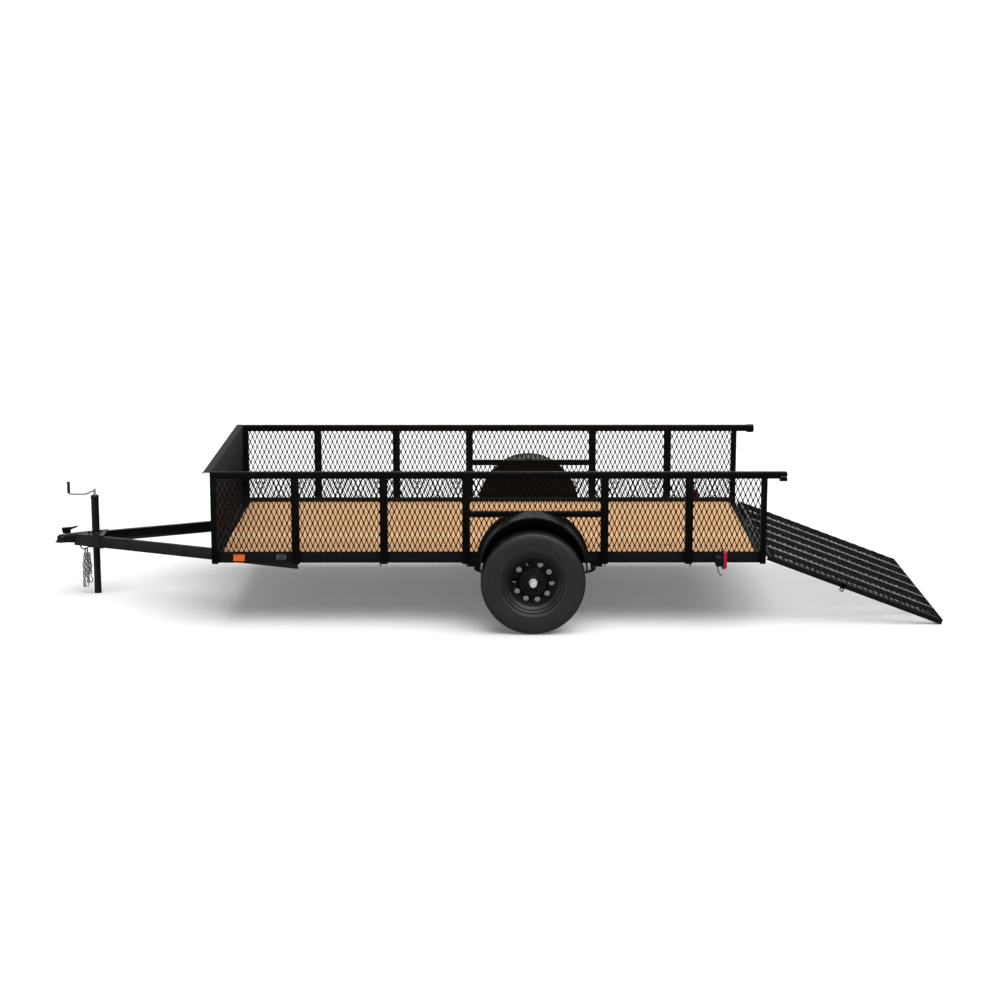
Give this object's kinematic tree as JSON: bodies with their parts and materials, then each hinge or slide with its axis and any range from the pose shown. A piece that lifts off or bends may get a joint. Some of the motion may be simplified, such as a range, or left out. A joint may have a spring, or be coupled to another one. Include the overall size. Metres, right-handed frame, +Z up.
{
  "type": "single-axle utility trailer with mesh sides and a ramp",
  "caption": "Open-top utility trailer: board deck, expanded-metal sides, solid front wall, A-frame tongue with coupler and crank jack, hinged tail ramp.",
  "frame": {"origin": "on the ground, on the centre line, midway between the tip of the coupler and the tail of the lowered ramp", "axes": "+X towards the tail, +Y towards the trailer's right side, +Z up"},
  "size_m": [6.0768, 2.448, 1.0441],
  "materials": {
    "black_paint": "semi-gloss black powder coat",
    "mesh_paint": "semi-gloss black paint on expanded steel",
    "wall_paint": "satin charcoal paint on sheet steel",
    "wheel_paint": "gloss black enamel",
    "spring_steel": "satin black on rolled spring steel",
    "pine": "sawn treated pine",
    "tyre": "matt black rubber",
    "zinc": "bright zinc plate",
    "grip": "moulded black plastic",
    "amber_lens": "moulded amber lens",
    "red_lens": "moulded red lens"
  },
  "bodies": {
    "chassis": {"front_rail": "black_paint", "rear_rail": "black_paint", "side_rail_left": "black_paint", "side_rail_right": "black_paint", "crossmember_1": "black_paint", "crossmember_2": "black_paint", "crossmember_3": "black_paint", "crossmember_4": "black_paint", "crossmember_5": "black_paint", "crossmember_6": "black_paint", "deck_boards": "pine", "front_wall": "wall_paint", "side_frame_left": "black_paint", "side_frame_right": "black_paint", "side_mesh_left": "mesh_paint", "side_mesh_right": "mesh_paint", "tongue_left": "black_paint", "tongue_right": "black_paint", "coupler": "black_paint", "coupler_head": "black_paint", "coupler_latch": "black_paint", "chain_loop": "black_paint", "safety_chain_left": "zinc", "safety_chain_right": "zinc", "jack_plate_top": "black_paint", "jack_plate_bottom": "black_paint", "jack_tube": "black_paint", "jack_crank": "zinc", "jack_grip": "grip", "axle_beam": "black_paint", "leaf_spring_left": "spring_steel", "leaf_spring_right": "spring_steel", "front_hanger_left": "black_paint", "front_hanger_right": "black_paint", "rear_hanger_left": "black_paint", "rear_hanger_right": "black_paint", "fender_left": "black_paint", "fender_right": "black_paint", "marker_light_left": "amber_lens", "marker_light_right": "amber_lens", "tail_lamp_left": "red_lens", "tail_lamp_right": "red_lens", "lamp_housing_left": "grip", "lamp_housing_right": "grip", "ramp_latch_left": "black_paint", "ramp_latch_right": "black_paint", "ramp_hinge_left": "black_paint", "ramp_hinge_right": "black_paint"},
    "jack_leg": {"jack_leg": "black_paint"},
    "ramp": {"ramp_frame": "black_paint", "ramp_mesh": "mesh_paint"},
    "wheel_left": {"tyre_left": "tyre", "wheel_rim_left": "wheel_paint", "hub_left": "zinc"},
    "wheel_right": {"tyre_right": "tyre", "wheel_rim_right": "wheel_paint", "hub_right": "zinc"}
  },
  "joints": [
    {"name": "wheel_left_spin", "type": "hinge", "parent": "chassis", "child": "wheel_left", "pos_m": [0.30005, -1.1055, 0.3443], "axis": [0, 1, 0], "continuous": true},
    {"name": "wheel_right_spin", "type": "hinge", "parent": "chassis", "child": "wheel_right", "pos_m": [0.30005, 1.1055, 0.3443], "axis": [0, 1, 0], "continuous": true},
    {"name": "ramp_hinge", "type": "hinge", "parent": "chassis", "child": "ramp", "pos_m": [1.86255, 0, 0.471], "axis": [0, -1, 0], "range_deg": [0, 110.7]},
    {"name": "jack_slide", "type": "slide", "parent": "chassis", "child": "jack_leg", "axis": [0, 0, 1], "range_m": [0, 0.3]}
  ]
}
